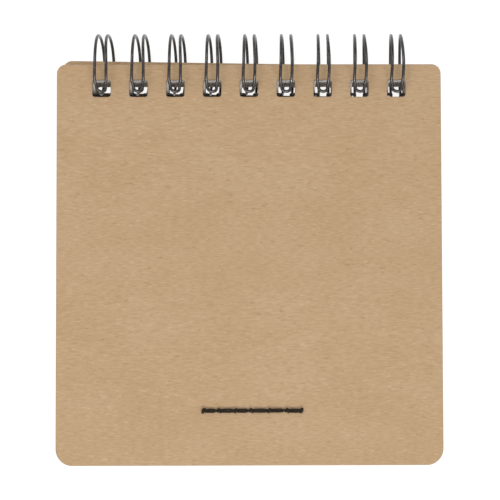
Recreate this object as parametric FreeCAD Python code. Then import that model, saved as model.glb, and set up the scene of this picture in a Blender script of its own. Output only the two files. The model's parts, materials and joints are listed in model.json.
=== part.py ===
import FreeCAD, Part
import math
import os

# A square sketchbook with kraft board covers, bound along its top by a twin-loop wire.
# Millimetres.  X runs along the spine, +Y points to the binding, +Z is up, and the book
# lies on its back cover with the stitched front cover uppermost.
#
# Every leaf turns about the axis of the wire's ring, so the pieces are modelled around that
# axis (Y = 0, Z = 0) and moved into the part's own frame at the end.

Vector = FreeCAD.Vector
X_AXIS = Vector(1, 0, 0)
Z_AXIS = Vector(0, 0, 1)
CENTRE = Vector(0, 0, 0)

# Punching: the 2:1 pitch of twin-loop bindings
HOLE_COUNT = 9
HOLE_PITCH = 12.7
HOLE_WIDTH = 6.25
HOLE_HEIGHT = 5.9
HOLE_CORNER = 0.9
HOLE_TO_SPINE_EDGE = 8.3

# Covers
COVER_WIDTH = 132.4
COVER_LENGTH = 137.7
COVER_THICKNESS = 1.2
COVER_FREE_CORNER = 5.7
COVER_SPINE_CORNER = 3.2

FRONT_HOLE_ROW_Y = -8.6
FRONT_UNDERSIDE = 3.9
FRONT_DROOP = 0.33          # degrees that the closed cover leans down towards its free edge
FRONT_SIDE_SHIFT = -0.4

BACK_HOLE_ROW_Y = -6.05     # the back cover is pushed towards the spine
BACK_UNDERSIDE = -9.0
BACK_SIDE_SHIFT = 0.1
BACK_TURN = -0.9            # degrees about its hole row, within the play of the holes

# Drawing sheets
SHEET_COUNT = 40
SHEET_WIDTH = 131.2
SHEET_LENGTH = 136.2
SHEET_THICKNESS = 0.24
SHEET_GAP = 0.016
SHEET_FREE_CORNER = 5.2
SHEET_SPINE_CORNER = 2.8
LOWEST_SHEET = BACK_UNDERSIDE + COVER_THICKNESS + 0.15
SHEET_SPINE_EDGE_Y = -0.2   # the top sheet's spine edge
SHEET_FAN = 0.6             # how much further from the spine the lowest sheet sits
SHEET_PLAY = 0.1            # how unevenly the sheets are knocked up
SHEET_SIDE_SHIFT = 0.2

# Binding wire: one wire, bent into pairs of strands that end in a hairpin
WIRE_RADIUS = 0.525
RING_RADIUS = 10.5          # to the wire's centre line
RING_LEAN = math.radians(4.9)   # the loops lean sideways, their top to the left
STRAND_OFFSET = 1.65        # half the distance between a pair's strands
SEAM_HEIGHT = 3.2           # of the bars between neighbouring pairs
ROOT_BEND = 1.1
FLAT_ARC_RADIUS = 12.5      # the closing half of each loop is a little flatter
HAIRPIN_START_Y = -8.8
WIRE_END = 1.6              # the cut end beyond the first and last root

# Ornamental stitching in the front cover
STITCH_LENGTHS = (6.2, 5.4, 5.5, 6.0, 6.3, 5.3)
STITCH_START_X = -16.4
STITCH_TO_FREE_EDGE = 18.7
STRAND_RADIUS = 0.35
STRAND_SPREAD = 0.33
NEEDLE_HOLE_RADIUS = 0.55
THREAD_IN_HOLE_RADIUS = 0.5
STITCH_KNOB_RADIUS = 0.55
END_KNOT_RADIUS = 0.75
INNER_STRAND_RADIUS = 0.22
LIFT = 0.01                 # keeps the thread off the board's faces


def rounded_outline(x_low, x_high, y_low, y_high, low_corner, high_corner):
    """A rectangle's wire, with its own corner radius at the low and at the high Y side."""
    corners = (
        (x_high - low_corner, y_low + low_corner, low_corner, 270),
        (x_high - high_corner, y_high - high_corner, high_corner, 0),
        (x_low + high_corner, y_high - high_corner, high_corner, 90),
        (x_low + low_corner, y_low + low_corner, low_corner, 180),
    )
    arcs = []
    for x, y, radius, start in corners:
        arcs.append(Part.makeCircle(radius, Vector(x, y, 0), Z_AXIS, start, start + 90))
    edges = []
    for arc, following in zip(arcs, arcs[1:] + arcs[:1]):
        edges.append(arc)
        edges.append(Part.makeLine(arc.Vertexes[-1].Point, following.Vertexes[0].Point))
    return Part.Wire(edges)


def hole_places():
    first = -(HOLE_COUNT - 1) / 2 * HOLE_PITCH
    return [first + n * HOLE_PITCH for n in range(HOLE_COUNT)]


def punched_leaf(width, length, thickness, spine_corner, free_corner):
    """A flat leaf on Z = 0, with the centres of its punched holes on the X axis."""
    spine_edge = HOLE_TO_SPINE_EDGE
    outlines = [
        rounded_outline(
            -width / 2, width / 2, spine_edge - length, spine_edge, free_corner, spine_corner
        )
    ]
    for x in hole_places():
        outlines.append(
            rounded_outline(
                x - HOLE_WIDTH / 2,
                x + HOLE_WIDTH / 2,
                -HOLE_HEIGHT / 2,
                HOLE_HEIGHT / 2,
                HOLE_CORNER,
                HOLE_CORNER,
            )
        )
    face = Part.makeFace(outlines, "Part::FaceMakerBullseye")
    return face.extrude(Vector(0, 0, thickness))


def cover():
    return punched_leaf(
        COVER_WIDTH, COVER_LENGTH, COVER_THICKNESS, COVER_SPINE_CORNER, COVER_FREE_CORNER
    )


def stitch_places():
    """The X of each needle hole, from the first stitch's start to the last one's end."""
    places = [STITCH_START_X]
    for length in STITCH_LENGTHS:
        places.append(places[-1] + length)
    return places


def stitch_y():
    return HOLE_TO_SPINE_EDGE - COVER_LENGTH + STITCH_TO_FREE_EDGE


def place_front(shape):
    """Lay a piece of the front cover in its closed place."""
    shape.translate(Vector(FRONT_SIDE_SHIFT, FRONT_HOLE_ROW_Y, FRONT_UNDERSIDE))
    shape.rotate(CENTRE, X_AXIS, FRONT_DROOP)
    return shape


def front_cover():
    board = cover()
    needle_holes = []
    for x in stitch_places():
        foot = Vector(x, stitch_y(), 0)
        needle_holes.append(Part.makeCylinder(NEEDLE_HOLE_RADIUS, COVER_THICKNESS, foot))
    return place_front(board.cut(needle_holes))


def stitch_thread():
    """Two strands side by side on the outer face, one on the inner face, joined at each hole."""
    y = stitch_y()
    places = stitch_places()
    outer_z = COVER_THICKNESS + STRAND_RADIUS + LIFT
    inner_z = -INNER_STRAND_RADIUS - LIFT
    pieces = []
    for start, end in zip(places, places[1:]):
        for side in (-STRAND_SPREAD, STRAND_SPREAD):
            foot = Vector(start, y + side, outer_z)
            pieces.append(Part.makeCylinder(STRAND_RADIUS, end - start, foot, X_AXIS))
        foot = Vector(start, y, inner_z)
        pieces.append(Part.makeCylinder(INNER_STRAND_RADIUS, end - start, foot, X_AXIS))
    for x in places:
        at_end = x in (places[0], places[-1])
        knob_radius = END_KNOT_RADIUS if at_end else STITCH_KNOB_RADIUS
        knob_z = COVER_THICKNESS + knob_radius + LIFT
        pieces.append(Part.makeSphere(knob_radius, Vector(x, y, knob_z)))
        foot = Vector(x, y, inner_z)
        pieces.append(Part.makeCylinder(THREAD_IN_HOLE_RADIUS, knob_z - inner_z, foot))
    return place_front(pieces[0].multiFuse(pieces[1:]))


def back_cover():
    board = cover()
    board.rotate(CENTRE, Z_AXIS, BACK_TURN)
    board.translate(Vector(BACK_SIDE_SHIFT, BACK_HOLE_ROW_Y, BACK_UNDERSIDE))
    return board


def sheet(level):
    """One drawing sheet; level 0 is the lowest, next to the back cover."""
    leaf = punched_leaf(
        SHEET_WIDTH, SHEET_LENGTH, SHEET_THICKNESS, SHEET_SPINE_CORNER, SHEET_FREE_CORNER
    )
    depth = 1 - level / (SHEET_COUNT - 1)
    back_from_spine = SHEET_FAN * depth + SHEET_PLAY * (1 + math.sin(2.4 * level)) / 2
    sideways = SHEET_SIDE_SHIFT + SHEET_PLAY * math.sin(1.7 * level)
    spine_edge_y = SHEET_SPINE_EDGE_Y - back_from_spine
    z = LOWEST_SHEET + level * (SHEET_THICKNESS + SHEET_GAP)
    leaf.translate(Vector(sideways, spine_edge_y - HOLE_TO_SPINE_EDGE, z))
    return leaf


def ring_point(x, angle, radius=RING_RADIUS, centre=0.0):
    """A point of a strand's leaning loop: angle 0 is on the spine side and 90 at the top."""
    turn = math.radians(angle)
    y = radius * math.cos(turn)
    up = centre + radius * math.sin(turn)
    return Vector(x - up * math.sin(RING_LEAN), y, up * math.cos(RING_LEAN))


def arc(start, middle, end):
    return Part.Arc(start, middle, end).toShape()


def loop_arc(x, start, end, radius=RING_RADIUS, centre=0.0):
    """The stretch of a strand's loop between two angles."""
    angles = (start, (start + end) / 2, end)
    return arc(*[ring_point(x, angle, radius, centre) for angle in angles])


def root_bend(x, side):
    """The bend between a strand and the bar on its left (-1) or right (1), towards +X."""
    up = Vector(-math.sin(RING_LEAN), 0, math.cos(RING_LEAN))
    corner = Vector(x - SEAM_HEIGHT * math.tan(RING_LEAN), -RING_RADIUS, SEAM_HEIGHT)
    into, out = (X_AXIS, -up) if side < 0 else (up, X_AXIS)
    half_turn = into.getAngle(out) / 2
    trim = ROOT_BEND * math.tan(half_turn)
    inward = (out - into).normalize()
    middle = corner + inward * (ROOT_BEND / math.cos(half_turn) - ROOT_BEND)
    return arc(corner - into * trim, middle, corner + out * trim)


def flat_arc(x, start, end):
    return loop_arc(x, start, end, FLAT_ARC_RADIUS, RING_RADIUS - FLAT_ARC_RADIUS)


def pair_of_strands(x):
    """The edges of one pair: out from its left root, round the spine side to the hairpin and back."""
    left, right = x - STRAND_OFFSET, x + STRAND_OFFSET
    tip_angle = math.degrees(math.acos(HAIRPIN_START_Y / FLAT_ARC_RADIUS))
    quarters = ((180, 270), (270, 360), (360, 450))
    root = root_bend(left, -1)
    out = [root, Part.makeLine(root.Vertexes[-1].Point, ring_point(left, 180))]
    out += [loop_arc(left, start, end) for start, end in quarters]
    out.append(flat_arc(left, 90, tip_angle))

    root = root_bend(right, 1)
    back = [flat_arc(right, tip_angle, 90)]
    back += [loop_arc(right, end, start) for start, end in reversed(quarters)]
    back += [Part.makeLine(ring_point(right, 180), root.Vertexes[0].Point), root]
    return out + hairpin(out[-1], back[0]) + back


def hairpin(last, following):
    """The edges that join a pair's strands: a half circle, after a short run that evens them up."""
    start = last.Vertexes[-1].Point
    end = following.Vertexes[0].Point
    onward = last.tangentAt(last.LastParameter)
    lag = (end - start).dot(onward)
    level_start = start + onward * max(lag, 0)
    level_end = end - onward * min(lag, 0)
    tip = (level_start + level_end) / 2 + onward * (level_end - level_start).Length / 2
    turn = arc(level_start, tip, level_end)
    if lag > 0:
        return [Part.makeLine(start, level_start), turn]
    return [turn, Part.makeLine(level_end, end)]


def binding_wire():
    """One wire of constant thickness, swept along all its loops and the bars between them."""
    path = []
    for x in hole_places():
        pair = pair_of_strands(x)
        if path:
            path.append(Part.makeLine(path[-1].Vertexes[-1].Point, pair[0].Vertexes[0].Point))
        path += pair
    first, last = path[0].Vertexes[0].Point, path[-1].Vertexes[-1].Point
    cut_end = first - X_AXIS * WIRE_END
    path.insert(0, Part.makeLine(cut_end, first))
    path.append(Part.makeLine(last, last + X_AXIS * WIRE_END))
    section = Part.Face(Part.Wire(Part.makeCircle(WIRE_RADIUS, cut_end, X_AXIS)))
    return Part.Wire(path).makePipe(section)


def all_pieces():
    pieces = {
        "front_cover": front_cover(),
        "stitch_thread": stitch_thread(),
        "binding_wire": binding_wire(),
        "back_cover": back_cover(),
    }
    for level in range(SHEET_COUNT):
        pieces["sheet_%02d" % (SHEET_COUNT - level)] = sheet(level)
    return pieces


def to_part_frame(pieces):
    """The move that puts the origin under the middle of the book, where it meets the table."""
    box = FreeCAD.BoundBox(pieces["front_cover"].BoundBox)
    box.add(pieces["back_cover"].BoundBox)
    ring_reach = RING_RADIUS + WIRE_RADIUS
    middle_y = (box.YMin + ring_reach) / 2
    return Vector(-box.Center.x, -middle_y, ring_reach)


def main():
    os.makedirs("parts", exist_ok=True)
    pieces = all_pieces()
    move = to_part_frame(pieces)
    for name, shape in pieces.items():
        shape.translate(move)
        shape.exportStep("parts/%s.step" % name)
    print("ring axis at Y %.4f, Z %.4f mm; hole row middle at X %.4f" % (move.y, move.z, move.x))


main()
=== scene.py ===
"""The looks of the wire-bound sketchbook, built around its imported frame.

The object is modelled in millimetres and scaled by MM into the frame, which is in metres.
The floor, the lights and the camera are placed in metres.
"""

import json
import math
import random

import bmesh
import bpy
from mathutils import Matrix, Vector


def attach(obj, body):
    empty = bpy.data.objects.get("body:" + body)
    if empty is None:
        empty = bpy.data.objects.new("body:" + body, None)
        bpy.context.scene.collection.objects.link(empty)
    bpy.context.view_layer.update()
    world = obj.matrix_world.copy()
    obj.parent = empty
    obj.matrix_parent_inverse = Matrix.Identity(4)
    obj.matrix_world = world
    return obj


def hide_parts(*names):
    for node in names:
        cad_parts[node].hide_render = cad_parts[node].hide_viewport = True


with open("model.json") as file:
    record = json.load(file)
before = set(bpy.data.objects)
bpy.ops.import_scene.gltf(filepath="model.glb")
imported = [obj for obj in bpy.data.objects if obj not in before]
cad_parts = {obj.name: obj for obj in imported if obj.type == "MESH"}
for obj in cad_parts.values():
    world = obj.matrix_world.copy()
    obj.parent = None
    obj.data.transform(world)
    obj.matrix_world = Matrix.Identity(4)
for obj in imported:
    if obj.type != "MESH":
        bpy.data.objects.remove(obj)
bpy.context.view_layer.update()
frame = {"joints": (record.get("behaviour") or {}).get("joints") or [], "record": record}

MM = 0.001

# ---------------------------------------------------------------- the object's sizes, in mm
RING_AXIS = Vector(frame["joints"][0]["pos_m"])
LOOPS_MOUNT = [m for m in frame["record"]["mounts"] if m["name"] == "hanging_loops"][0]
RING_CENTRE = Vector((LOOPS_MOUNT["pos_m"][0], RING_AXIS.y, RING_AXIS.z))

HOLE_COUNT = 9
HOLE_PITCH = 12.7
HOLE_WIDTH = 6.25
HOLE_HEIGHT = 5.9
HOLE_CORNER = 0.9
HOLE_TO_SPINE_EDGE = 8.3

COVER_SIZE = (132.4, 137.7)
COVER_THICKNESS = 1.2
COVER_CORNERS = (5.7, 3.2)      # at the free edge and at the spine edge
COVER_ROUNDING = 0.26
FRONT_PLACE = (-0.4, -8.6, 3.9)     # the middle of its hole row, underside, from the ring's axis
FRONT_DROOP = math.radians(0.33)
BACK_PLACE = (0.1, -6.05, -9.0)
BACK_TURN = math.radians(-0.9)

SHEET_COUNT = 40
SHEET_SIZE = (131.2, 136.2)
SHEET_THICKNESS = 0.24
SHEET_CORNERS = (5.2, 2.8)
SHEET_ROUNDING = 0.05
SHEET_GAP = 0.016
LOWEST_SHEET = -7.65
SHEET_SPINE_EDGE_Y = -0.2
SHEET_FAN = 0.6                 # the lowest sheet sits this much further from the spine
SHEET_PLAY = 0.1                # how unevenly the sheets are knocked up
SHEET_SIDE_SHIFT = 0.2
FREE_EDGE_SPREAD = 0.22         # how much thicker the stack of sheets is at its free edge

WIRE_RADIUS = 0.525
RING_RADIUS = 10.5
RING_LEAN = math.radians(4.9)
SEAM_HEIGHT = 3.2               # of the bars between neighbouring pairs
ROOT_BEND = 1.1                 # radius of the bend between a strand and a seam bar
FLAT_ARC_RADIUS = 12.5          # the closing half of each loop is a little flatter
HAIRPIN_START_Y = -8.8
WIRE_END = 1.6                  # the cut end beyond the first and last root
STRAND_OFFSET = 1.65            # half a pair's spacing, at the roots and behind
FRONT_OFFSET = 1.98             # where the pair is widest, over the front cover
HAIRPIN_OFFSET = 1.52
WIDEST_ANGLE = 118.0
TOP_SWAY = 0.6                  # how far the loops' tops sway to the right, out of their plane
HAIRPIN_SWAY = 0.2              # and how much of that sway is left at the hairpin
ARC_STEP = 4.0                  # degrees between the wire's points

STITCH_LENGTHS = (6.2, 5.4, 5.5, 6.0, 6.3, 5.3)
STITCH_START_X = -16.4
STITCH_TO_FREE_EDGE = 18.7
NEEDLE_HOLE_RADIUS = 0.42
STRAND_SPREAD = 0.36
END_STITCH_TRIM = 0.5           # the first and last stitches are pulled in by this much
PLY_RADIUS = 0.19
PLY_OFFSET = 0.165              # from the thread's middle to a ply's middle
PLY_COUNT = 3
PLY_PITCH = 2.0                 # length of thread in one turn of the plies
KNOB_SIZE = 0.55                # half the length of the thread's turns over a needle hole
KNOB_SPREAD = 0.22              # between the two turns
KNOB_LEAN = 0.25
END_KNOB_SIZE = 0.62
END_KNOB_SPREAD = 0.34
END_KNOB_INSET = 0.15           # the end knobs sit this much inside the end needle holes
UNDER_GAP = 0.04                # between the board's underside and the thread

# ---------------------------------------------------------------- the camera
CAMERA_PLACE = (-0.0028, -0.0248, 0.5063)   # metres
CAMERA_TURN = (2.783, -0.40, -0.12)         # degrees
CAMERA_LENS = 103.1                         # millimetres
CAMERA_SENSOR = 36


# ---------------------------------------------------------------- materials
def new_material(name):
    material = bpy.data.materials.new(name)
    material.use_nodes = True
    nodes = material.node_tree.nodes
    nodes.clear()
    output = nodes.new("ShaderNodeOutputMaterial")
    shader = nodes.new("ShaderNodeBsdfPrincipled")
    material.node_tree.links.new(shader.outputs["BSDF"], output.inputs["Surface"])
    return material, shader


def srgb(red, green, blue):
    """A linear colour from 8-bit sRGB values."""
    def linear(value):
        value /= 255
        return value / 12.92 if value <= 0.04045 else ((value + 0.055) / 1.055) ** 2.4

    return (linear(red), linear(green), linear(blue), 1.0)


class Graph:
    """Short ways to add the nodes that the materials below share."""

    def __init__(self, material):
        self.tree = material.node_tree
        self.place = self.new("ShaderNodeTexCoord").outputs["Object"]

    def new(self, kind, **settings):
        node = self.tree.nodes.new(kind)
        for key, value in settings.items():
            setattr(node, key, value)
        return node

    def link(self, source, socket):
        self.tree.links.new(source, socket)

    def noise(self, scale, stretch=(1, 1, 1), detail=3.0, roughness=0.5):
        """Noise whose scale is in features per metre, stretched along an axis where stretch is under 1."""
        mapping = self.new("ShaderNodeMapping")
        mapping.inputs["Scale"].default_value = [scale * s for s in stretch]
        self.link(self.place, mapping.inputs["Vector"])
        node = self.new("ShaderNodeTexNoise")
        node.inputs["Scale"].default_value = 1.0
        node.inputs["Detail"].default_value = detail
        node.inputs["Roughness"].default_value = roughness
        self.link(mapping.outputs["Vector"], node.inputs["Vector"])
        return node.outputs["Fac"]

    def ramp(self, value, low, high, to=(0.0, 1.0)):
        node = self.new("ShaderNodeMapRange")
        node.inputs["From Min"].default_value = low
        node.inputs["From Max"].default_value = high
        node.inputs["To Min"].default_value = to[0]
        node.inputs["To Max"].default_value = to[1]
        self.link(value, node.inputs["Value"])
        return node.outputs["Result"]

    def mix(self, amount, first, second, blend="MIX"):
        node = self.new("ShaderNodeMix", data_type="RGBA", blend_type=blend)
        for socket, value in ((node.inputs[0], amount), (node.inputs[6], first), (node.inputs[7], second)):
            if isinstance(value, (tuple, float, int)):
                socket.default_value = value
            else:
                self.link(value, socket)
        return node.outputs[2]

    def maths(self, operation, first, second):
        node = self.new("ShaderNodeMath", operation=operation)
        for socket, value in zip(node.inputs, (first, second)):
            if isinstance(value, (float, int)):
                socket.default_value = value
            else:
                self.link(value, socket)
        return node.outputs[0]

    def bump(self, shader, height, distance, strength=1.0):
        node = self.new("ShaderNodeBump")
        node.inputs["Strength"].default_value = strength
        node.inputs["Distance"].default_value = distance
        self.link(height, node.inputs["Height"])
        self.link(node.outputs["Normal"], shader.inputs["Normal"])

    def facing_sideways(self):
        """1 on cut edges and hole walls, 0 on the flat faces."""
        split = self.new("ShaderNodeSeparateXYZ")
        coordinates = self.new("ShaderNodeTexCoord")
        self.link(coordinates.outputs["Normal"], split.inputs[0])
        upright = self.new("ShaderNodeMath", operation="ABSOLUTE")
        self.link(split.outputs["Z"], upright.inputs[0])
        return self.ramp(upright.outputs[0], 0.95, 0.55)


def kraft_material():
    """Uncoated kraft board: even brown, with short fibres lying along X and faint clouding."""
    material, shader = new_material("kraft_board")
    graph = Graph(material)
    base, light, dark = srgb(194, 163, 127), srgb(211, 184, 151), srgb(166, 134, 97)

    clouds = graph.noise(60, (0.7, 1, 1), detail=2)
    colour = graph.mix(graph.ramp(clouds, 0.35, 0.65, (0.0, 0.25)), base, light)
    fibres = graph.noise(2600, (0.16, 1, 1), detail=2, roughness=0.6)
    colour = graph.mix(graph.ramp(fibres, 0.35, 0.7, (0.0, 0.5)), colour, dark)
    pale_fibres = graph.noise(2100, (0.22, 1, 1), detail=1)
    colour = graph.mix(graph.ramp(pale_fibres, 0.62, 0.74, (0.0, 0.5)), colour, light)
    flecks = graph.noise(1300, (0.3, 1, 1), detail=1)
    colour = graph.mix(graph.ramp(flecks, 0.66, 0.76, (0.0, 0.55)), colour, dark)

    layers = graph.noise(900, (0.5, 0.5, 6), detail=2)
    edge = graph.mix(graph.ramp(layers, 0.35, 0.65), srgb(180, 160, 140), srgb(156, 134, 112))
    colour = graph.mix(graph.facing_sideways(), colour, edge)
    graph.link(colour, shader.inputs["Base Color"])

    tooth = graph.noise(5200, (0.45, 1, 1), detail=3, roughness=0.65)
    height = graph.maths("ADD", tooth, graph.maths("MULTIPLY", fibres, 0.6))
    graph.bump(shader, height, 0.03 * MM)
    graph.link(graph.ramp(tooth, 0.3, 0.7, (0.82, 0.95)), shader.inputs["Roughness"])
    shader.inputs["Specular IOR Level"].default_value = 0.22
    shader.inputs["Sheen Weight"].default_value = 0.06
    return material


def paper_material():
    """Drawing paper: warm white with a fine tooth, greyer along its cut edges."""
    material, shader = new_material("drawing_paper")
    graph = Graph(material)
    clouds = graph.noise(90, detail=2)
    colour = graph.mix(graph.ramp(clouds, 0.3, 0.7), srgb(240, 237, 230), srgb(234, 230, 221))
    specks = graph.noise(2400, detail=1)
    colour = graph.mix(graph.ramp(specks, 0.72, 0.8, (0.0, 0.3)), colour, srgb(205, 196, 180))
    cut = graph.noise(3000, (0.3, 0.3, 1), detail=2)
    edge = graph.mix(graph.ramp(cut, 0.3, 0.7), srgb(238, 232, 228), srgb(218, 210, 205))
    colour = graph.mix(graph.facing_sideways(), colour, edge)
    graph.link(colour, shader.inputs["Base Color"])
    tooth = graph.noise(3400, detail=4, roughness=0.6)
    graph.bump(shader, tooth, 0.025 * MM)
    shader.inputs["Roughness"].default_value = 0.9
    shader.inputs["Specular IOR Level"].default_value = 0.25
    return material


def wire_material():
    """Gunmetal coating on steel: dark, satin, with fine drawing marks and a few rubbed spots."""
    material, shader = new_material("binding_wire")
    graph = Graph(material)
    marks = graph.noise(2600, (1, 0.35, 0.35), detail=3)
    colour = graph.mix(graph.ramp(marks, 0.3, 0.7), srgb(58, 56, 56), srgb(92, 90, 89))
    rubbed = graph.noise(700, detail=2)
    colour = graph.mix(graph.ramp(rubbed, 0.64, 0.74, (0.0, 0.5)), colour, srgb(140, 137, 134))
    graph.link(colour, shader.inputs["Base Color"])
    graph.link(graph.ramp(marks, 0.3, 0.7, (0.24, 0.36)), shader.inputs["Roughness"])
    graph.bump(shader, marks, 0.012 * MM)
    shader.inputs["Metallic"].default_value = 0.85
    shader.inputs["Coat Weight"].default_value = 0.25
    shader.inputs["Coat Roughness"].default_value = 0.25
    return material


def thread_material():
    """Waxed linen thread, almost black, with a dull green-brown sheen."""
    material, shader = new_material("stitch_thread")
    graph = Graph(material)
    fibres = graph.noise(9000, (0.25, 1, 1), detail=3)
    colour = graph.mix(graph.ramp(fibres, 0.3, 0.7), srgb(10, 8, 5), srgb(54, 45, 32))
    graph.link(colour, shader.inputs["Base Color"])
    graph.bump(shader, fibres, 0.03 * MM)
    shader.inputs["Roughness"].default_value = 0.62
    shader.inputs["Sheen Weight"].default_value = 0.05
    shader.inputs["Specular IOR Level"].default_value = 0.22
    return material


# ---------------------------------------------------------------- mesh helpers
def piece(name, mesh, material, slot, body, *nodes):
    """Link a finished mesh, give it its finish and let it stand for its CAD nodes."""
    thing = bpy.data.objects.new(name, mesh)
    bpy.context.scene.collection.objects.link(thing)
    mesh.materials.append(material)
    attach(thing, body)
    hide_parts(*nodes)
    return thing


def rounded_rectangle(centre, half_width, half_height, low_corner, high_corner, steps):
    """Points round a rectangle, with its own corner radius at the low and at the high Y side."""
    corners = (
        (1, -1, low_corner, 270),
        (1, 1, high_corner, 0),
        (-1, 1, high_corner, 90),
        (-1, -1, low_corner, 180),
    )
    points = []
    for side, end, radius, start in corners:
        x = centre[0] + side * (half_width - radius)
        y = centre[1] + end * (half_height - radius)
        for n in range(steps + 1):
            turn = math.radians(start + 90 * n / steps)
            points.append((x + radius * math.cos(turn), y + radius * math.sin(turn)))
    return points


def circle(centre, radius, steps=20):
    turns = [2 * math.pi * n / steps for n in range(steps)]
    return [(centre[0] + radius * math.cos(t), centre[1] + radius * math.sin(t)) for t in turns]


def hole_places():
    return [(n - (HOLE_COUNT - 1) / 2) * HOLE_PITCH for n in range(HOLE_COUNT)]


def leaf_outlines(size, corners, inset, needle_holes=()):
    """The leaf's outline and its holes, with the material drawn back by inset all round."""
    half_width, half_height = size[0] / 2 - inset, size[1] / 2 - inset
    middle_y = HOLE_TO_SPINE_EDGE - size[1] / 2
    low, high = corners[0] - inset, corners[1] - inset
    outlines = [rounded_rectangle((0, middle_y), half_width, half_height, low, high, 12)]
    hole = (HOLE_WIDTH / 2 + inset, HOLE_HEIGHT / 2 + inset, HOLE_CORNER + inset)
    for x in hole_places():
        outlines.append(rounded_rectangle((x, 0), hole[0], hole[1], hole[2], hole[2], 6))
    for place in needle_holes:
        outlines.append(circle(place, NEEDLE_HOLE_RADIUS + inset))
    return outlines


def leaf_levels(thickness, rounding):
    """(inset, height) of the rings that round a leaf's lower and upper edges."""
    steps = 4
    lower = []
    for n in range(steps + 1):
        turn = math.radians(90 * n / steps)
        lower.append((rounding * (1 - math.sin(turn)), rounding * (1 - math.cos(turn))))
    upper = [(inset, thickness - height) for inset, height in reversed(lower)]
    margin = 3 * rounding
    return [(margin, 0)] + lower + upper + [(margin, thickness)]


def leaf_mesh(name, size, corners, thickness, rounding, needle_holes=(), cuts=0):
    """A flat leaf with rounded edges and punched holes, in mm, underside on Z = 0."""
    build = bmesh.new()
    levels = leaf_levels(thickness, rounding)
    rings = []
    for inset, height in levels:
        outlines = leaf_outlines(size, corners, inset, needle_holes)
        rings.append([[build.verts.new((x, y, height)) for x, y in o] for o in outlines])
    for lower, upper in zip(rings, rings[1:]):
        for number, (below, above) in enumerate(zip(lower, upper)):
            count = len(below)
            for n in range(count):
                following = (n + 1) % count
                quad = [below[n], below[following], above[following], above[n]]
                build.faces.new(quad if number == 0 else quad[::-1])
    for ring, up in ((rings[0], -1), (rings[-1], 1)):
        edges = []
        for loop in ring:
            for n, vertex in enumerate(loop):
                edges.append(build.edges.get((vertex, loop[(n + 1) % len(loop)])))
        filled = bmesh.ops.triangle_fill(build, edges=edges, use_beauty=True, normal=(0, 0, up))
        for face in filled["geom"]:
            if isinstance(face, bmesh.types.BMFace) and face.normal.z * up < 0:
                face.normal_flip()
    for n in range(1, cuts):
        y = HOLE_TO_SPINE_EDGE - size[1] * n / cuts
        everything = build.verts[:] + build.edges[:] + build.faces[:]
        bmesh.ops.bisect_plane(build, geom=everything, plane_co=(0, y, 0), plane_no=(0, 1, 0))
    for face in build.faces:
        face.smooth = True
    mesh = bpy.data.meshes.new(name)
    build.to_mesh(mesh)
    build.free()
    return mesh


def to_frame(mesh, matrix):
    """Scale a mesh from mm about the ring's centre into the frame, after matrix."""
    mesh.transform(Matrix.Translation(RING_CENTRE) @ Matrix.Scale(MM, 4) @ matrix)
    mesh.update()


def smooth_curve(name, runs, radius, resolution):
    """A mesh of round tubes, one along each run of points."""
    curve = bpy.data.curves.new(name, "CURVE")
    curve.dimensions = "3D"
    curve.bevel_depth = radius
    curve.bevel_resolution = resolution
    curve.use_fill_caps = True
    for run in runs:
        spline = curve.splines.new("POLY")
        spline.points.add(len(run) - 1)
        for point, place in zip(spline.points, run):
            point.co = (*place, 1)
    holder = bpy.data.objects.new(name, curve)
    mesh = bpy.data.meshes.new_from_object(holder)
    bpy.data.objects.remove(holder)
    bpy.data.curves.remove(curve)
    for polygon in mesh.polygons:
        polygon.use_smooth = True
    return mesh


# ---------------------------------------------------------------- covers and sheets
def front_matrix():
    return Matrix.Rotation(FRONT_DROOP, 4, "X") @ Matrix.Translation(FRONT_PLACE)


def back_matrix():
    return Matrix.Translation(BACK_PLACE) @ Matrix.Rotation(BACK_TURN, 4, "Z")


def stitch_places():
    places = [STITCH_START_X]
    for length in STITCH_LENGTHS:
        places.append(places[-1] + length)
    places[0] += END_STITCH_TRIM
    places[-1] -= END_STITCH_TRIM
    return places


def stitch_y():
    return HOLE_TO_SPINE_EDGE - COVER_SIZE[1] + STITCH_TO_FREE_EDGE


def make_covers(kraft):
    needles = [(x, stitch_y()) for x in stitch_places()]
    front = leaf_mesh(
        "front_board", COVER_SIZE, COVER_CORNERS, COVER_THICKNESS, COVER_ROUNDING, needles
    )
    to_frame(front, front_matrix())
    piece("front_board", front, kraft, "kraft_board", "front_cover", "front_cover")
    back = leaf_mesh("back_board", COVER_SIZE, COVER_CORNERS, COVER_THICKNESS, COVER_ROUNDING)
    to_frame(back, back_matrix())
    piece("back_board", back, kraft, "kraft_board", "back_cover", "back_cover")


def sheet_lifts():
    """How far each sheet's free edge is lifted: uneven steps that only grow, lowest first."""
    chance = random.Random(7)
    steps = [chance.random() ** 3 for _ in range(SHEET_COUNT)]
    total = sum(steps)
    return [FREE_EDGE_SPREAD * sum(steps[: n + 1]) / total for n in range(SHEET_COUNT)]


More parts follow.
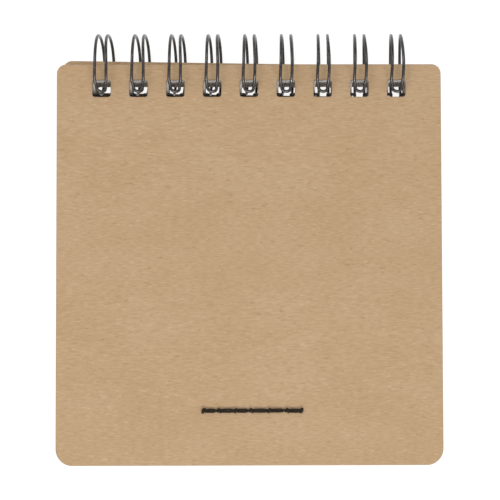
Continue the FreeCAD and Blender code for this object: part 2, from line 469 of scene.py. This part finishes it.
def make_sheets(paper):
    for level, lift in enumerate(sheet_lifts()):
        number = SHEET_COUNT - level
        node = "sheet_%02d" % number
        mesh = leaf_mesh(
            "page_%02d" % number,
            SHEET_SIZE,
            SHEET_CORNERS,
            SHEET_THICKNESS,
            SHEET_ROUNDING,
            cuts=10,
        )
        for vertex in mesh.vertices:
            along = (HOLE_TO_SPINE_EDGE - vertex.co.y) / SHEET_SIZE[1]
            vertex.co.z += lift * along**2
        depth = 1 - level / (SHEET_COUNT - 1)
        back_from_spine = SHEET_FAN * depth + SHEET_PLAY * (1 + math.sin(2.4 * level)) / 2
        place = Vector(
            (
                SHEET_SIDE_SHIFT + SHEET_PLAY * math.sin(1.7 * level),
                SHEET_SPINE_EDGE_Y - back_from_spine - HOLE_TO_SPINE_EDGE,
                LOWEST_SHEET + level * (SHEET_THICKNESS + SHEET_GAP),
            )
        )
        to_frame(mesh, Matrix.Translation(place))
        body = "first_sheet_and_wire" if number == 1 else node
        piece("page_%02d" % number, mesh, paper, "drawing_paper", body, node)


# ---------------------------------------------------------------- binding wire
def loop_point(x, angle, radius=RING_RADIUS, centre=0.0):
    """A point of a strand's leaning loop: angle 0 is on the spine side and 90 at the top."""
    turn = math.radians(angle)
    up = centre + radius * math.sin(turn)
    return Vector(
        (x - up * math.sin(RING_LEAN), radius * math.cos(turn), up * math.cos(RING_LEAN))
    )


def smooth_step(value):
    value = min(max(value, 0.0), 1.0)
    return value * value * (3 - 2 * value)


def strand_offset(angle, tip_angle):
    """Half a pair's spacing at an angle, counted from the root at -180 to the hairpin."""
    widening = smooth_step((angle - 20) / (WIDEST_ANGLE - 20))
    closing = smooth_step((angle - WIDEST_ANGLE) / (tip_angle - WIDEST_ANGLE))
    offset = STRAND_OFFSET + (FRONT_OFFSET - STRAND_OFFSET) * widening
    return offset + (HAIRPIN_OFFSET - FRONT_OFFSET) * closing


def strand_sway(angle, tip_angle):
    """How far a loop's upper half sways sideways out of its plane."""
    swaying = TOP_SWAY * smooth_step(angle / 90)
    return swaying - (TOP_SWAY - HAIRPIN_SWAY) * smooth_step((angle - 90) / (tip_angle - 90))


def strand_points(x, side):
    """Points of one strand, from the ring's start over the spine side to the hairpin."""
    tip_angle = math.degrees(math.acos(HAIRPIN_START_Y / FLAT_ARC_RADIUS))
    points = []
    count = round((tip_angle + 180) / ARC_STEP)
    for n in range(count + 1):
        angle = -180 + (tip_angle + 180) * n / count
        place = x + side * strand_offset(angle, tip_angle) + strand_sway(angle, tip_angle)
        if angle <= 90:
            points.append(loop_point(place, angle))
        else:
            flat_centre = RING_RADIUS - FLAT_ARC_RADIUS
            points.append(loop_point(place, angle, FLAT_ARC_RADIUS, flat_centre))
    return points


def hairpin_points(last, following, onward):
    """The half circle between a pair's strands, without its end points."""
    middle, half = (last + following) / 2, (following - last) / 2
    points = []
    for n in range(1, 16):
        turn = math.pi * n / 16
        points.append(middle - half * math.cos(turn) + onward * half.length * math.sin(turn))
    return points


def root_points(x, side):
    """The bend between a strand's foot and the bar beside it, from the bar to the strand."""
    up = Vector((-math.sin(RING_LEAN), 0, math.cos(RING_LEAN)))
    corner = Vector((x - SEAM_HEIGHT * math.tan(RING_LEAN), -RING_RADIUS, SEAM_HEIGHT))
    to_bar, to_strand = Vector((side, 0, 0)), -up
    opening = to_bar.angle(to_strand)
    trim = ROOT_BEND / math.tan(opening / 2)
    start, end = corner + to_bar * trim, corner + to_strand * trim
    points = []
    for n in range(9):
        t = n / 8
        points.append(start * (1 - t) ** 2 + corner * 2 * t * (1 - t) + end * t * t)
    return points


def make_wire(metal):
    path = []
    for x in hole_places():
        left, right = strand_points(x, -1), strand_points(x, 1)
        onward = (left[-1] - left[-2]).normalized()
        path += root_points(x - STRAND_OFFSET, -1) + left
        path += hairpin_points(left[-1], right[-1], onward)
        path += right[::-1] + root_points(x + STRAND_OFFSET, 1)[::-1]
    end = Vector((WIRE_END, 0, 0))
    path = [path[0] - end] + path + [path[-1] + end]
    mesh = smooth_curve("twin_loop_wire", [path], WIRE_RADIUS, resolution=5)
    to_frame(mesh, Matrix.Identity(4))
    piece("twin_loop_wire", mesh, metal, "binding_wire", "first_sheet_and_wire", "binding_wire")


# ---------------------------------------------------------------- stitching
def twisted(path, phase):
    """The plies of one thread, wound round a path of points from a phase in radians."""
    runs = [[] for _ in range(PLY_COUNT)]
    travelled = 0.0
    for n, place in enumerate(path):
        before, after = path[max(n - 1, 0)], path[min(n + 1, len(path) - 1)]
        onward = (after - before).normalized()
        if n:
            travelled += (place - path[n - 1]).length
        across = onward.cross(Vector((0, 1, 0.2))).normalized()
        other = onward.cross(across)
        for ply, run in enumerate(runs):
            turn = phase + 2 * math.pi * (travelled / PLY_PITCH + ply / PLY_COUNT)
            run.append(place + PLY_OFFSET * (across * math.cos(turn) + other * math.sin(turn)))
    return runs


def smooth_path(points, steps):
    """A smooth path through points (Catmull-Rom)."""
    padded = [points[0] * 2 - points[1]] + points + [points[-1] * 2 - points[-2]]
    path = []
    for a, b, c, d in zip(padded, padded[1:], padded[2:], padded[3:]):
        for n in range(steps):
            t = n / steps
            path.append(
                0.5 * (2 * b + (c - a) * t + (2 * a - 5 * b + 4 * c - d) * t * t
                       + (3 * b - a - 3 * c + d) * t**3)
            )
    path.append(points[-1])
    return path


def stitch_runs(start, end, y, crossed, chance):
    """The plies of one stitch's two strands, which lie side by side over the board."""
    top = COVER_THICKNESS + PLY_RADIUS + PLY_OFFSET
    runs = []
    for side in (-1, 1):
        swap = -side if crossed else side
        rise = 0.10 * chance.random()
        spread = STRAND_SPREAD * (0.85 + 0.3 * chance.random())
        points = [
            Vector((start + 0.20, y + side * 0.12, 0.35)),
            Vector((start + 0.25, y + side * 0.14, top - 0.10)),
            Vector((start + 0.75, y + side * 0.30, top + 0.16)),
            Vector((start * 0.65 + end * 0.35, y + side * spread, top + rise)),
            Vector((start * 0.35 + end * 0.65, y + side * spread, top + rise)),
            Vector((end - 0.75, y + swap * 0.24, top + 0.12 + 0.1 * side)),
            Vector((end - 0.25, y + swap * 0.12, top - 0.10)),
            Vector((end - 0.20, y + swap * 0.12, 0.35)),
        ]
        runs += twisted(smooth_path(points, 14), chance.random() * 6)
    return runs


def knob_runs(x, y, size, spread, lean, chance):
    """The plies of the thread's two turns over one needle hole."""
    runs = []
    for turn_over in (-0.5, 0.5):
        points = []
        for k in range(9):
            turn = math.radians(-20 + 220 * k / 8)
            across = x + spread * turn_over + lean * math.cos(turn)
            height = COVER_THICKNESS + 0.25 + (size + 0.25) * max(math.sin(turn), -0.3)
            points.append(Vector((across, y + size * math.cos(turn), height)))
        runs += twisted(smooth_path(points, 8), chance.random() * 6)
    return runs


def under_run(start, end, y):
    """The thread's path under one stitch, from needle hole to needle hole."""
    below = -PLY_RADIUS - UNDER_GAP
    points = [
        Vector((start, y, 0.6)),
        Vector((start + 0.15, y, 0.0)),
        Vector((start + 0.8, y, below)),
        Vector((end - 0.8, y, below)),
        Vector((end - 0.15, y, 0.0)),
        Vector((end, y, 0.6)),
    ]
    return smooth_path(points, 8)


def make_stitching(thread):
    y = stitch_y()
    places = stitch_places()
    stitches = list(zip(places, places[1:]))
    chance = random.Random(3)
    runs = []
    for number, (start, end) in enumerate(stitches):
        runs += stitch_runs(start, end, y, number % 2 == 0, chance)
    for n, x in enumerate(places):
        lean = KNOB_LEAN * (-1) ** n
        if n == 0:
            runs += knob_runs(x + END_KNOB_INSET, y, END_KNOB_SIZE, END_KNOB_SPREAD, lean, chance)
        elif n == len(places) - 1:
            runs += knob_runs(x - END_KNOB_INSET, y, END_KNOB_SIZE, END_KNOB_SPREAD, lean, chance)
        else:
            runs += knob_runs(x, y, KNOB_SIZE, KNOB_SPREAD, lean, chance)
    upper = smooth_curve("stitched_thread", runs, PLY_RADIUS, resolution=2)
    under = [under_run(start, end, y) for start, end in stitches]
    lower = smooth_curve("under_thread", under, PLY_RADIUS, resolution=2)
    to_frame(upper, front_matrix())
    to_frame(lower, front_matrix())
    piece("stitched_thread", upper, thread, "stitch_thread", "front_cover", "stitch_thread")
    piece("under_thread", lower, thread, "stitch_thread", "front_cover", "stitch_thread")


# ---------------------------------------------------------------- setting
def make_floor():
    bpy.ops.mesh.primitive_plane_add(size=40.0, location=(0, 0, -0.00002))
    floor = bpy.context.object
    floor.name = "floor"
    material, shader = new_material("pale_floor")
    shader.inputs["Base Color"].default_value = (0.3, 0.3, 0.3, 1)
    shader.inputs["Roughness"].default_value = 0.9
    shader.inputs["Specular IOR Level"].default_value = 0.0
    shader.inputs["Emission Color"].default_value = (1, 1, 1, 1)
    shader.inputs["Emission Strength"].default_value = 0.86
    floor.data.materials.append(material)


def area_light(name, place, target, size, power):
    data = bpy.data.lights.new(name, "AREA")
    data.shape = "RECTANGLE"
    data.size, data.size_y = size
    data.energy = power
    light = bpy.data.objects.new(name, data)
    light.location = place
    light.rotation_euler = (Vector(target) - Vector(place)).to_track_quat("-Z", "Y").to_euler()
    bpy.context.scene.collection.objects.link(light)


def make_lights():
    world = bpy.data.worlds.new("soft_studio")
    world.use_nodes = True
    background = world.node_tree.nodes["Background"]
    background.inputs["Color"].default_value = (1, 1, 1, 1)
    background.inputs["Strength"].default_value = 0.55
    bpy.context.scene.world = world
    area_light("key", (-0.35, 0.35, 0.9), (0, 0, 0), (0.4, 0.4), 2.2)
    area_light("front", (0.15, -0.85, 0.75), (0, 0, 0), (0.7, 0.3), 6.0)


def make_camera():
    data = bpy.data.cameras.new("camera")
    data.lens = CAMERA_LENS
    data.sensor_width = CAMERA_SENSOR
    camera = bpy.data.objects.new("camera", data)
    camera.location = CAMERA_PLACE
    camera.rotation_euler = [math.radians(turn) for turn in CAMERA_TURN]
    bpy.context.scene.collection.objects.link(camera)
    bpy.context.scene.camera = camera
    bpy.context.scene.view_settings.view_transform = "Standard"


def main():
    kraft = kraft_material()
    make_covers(kraft)
    make_sheets(paper_material())
    make_wire(wire_material())
    make_stitching(thread_material())
    make_floor()
    make_lights()
    make_camera()


main()
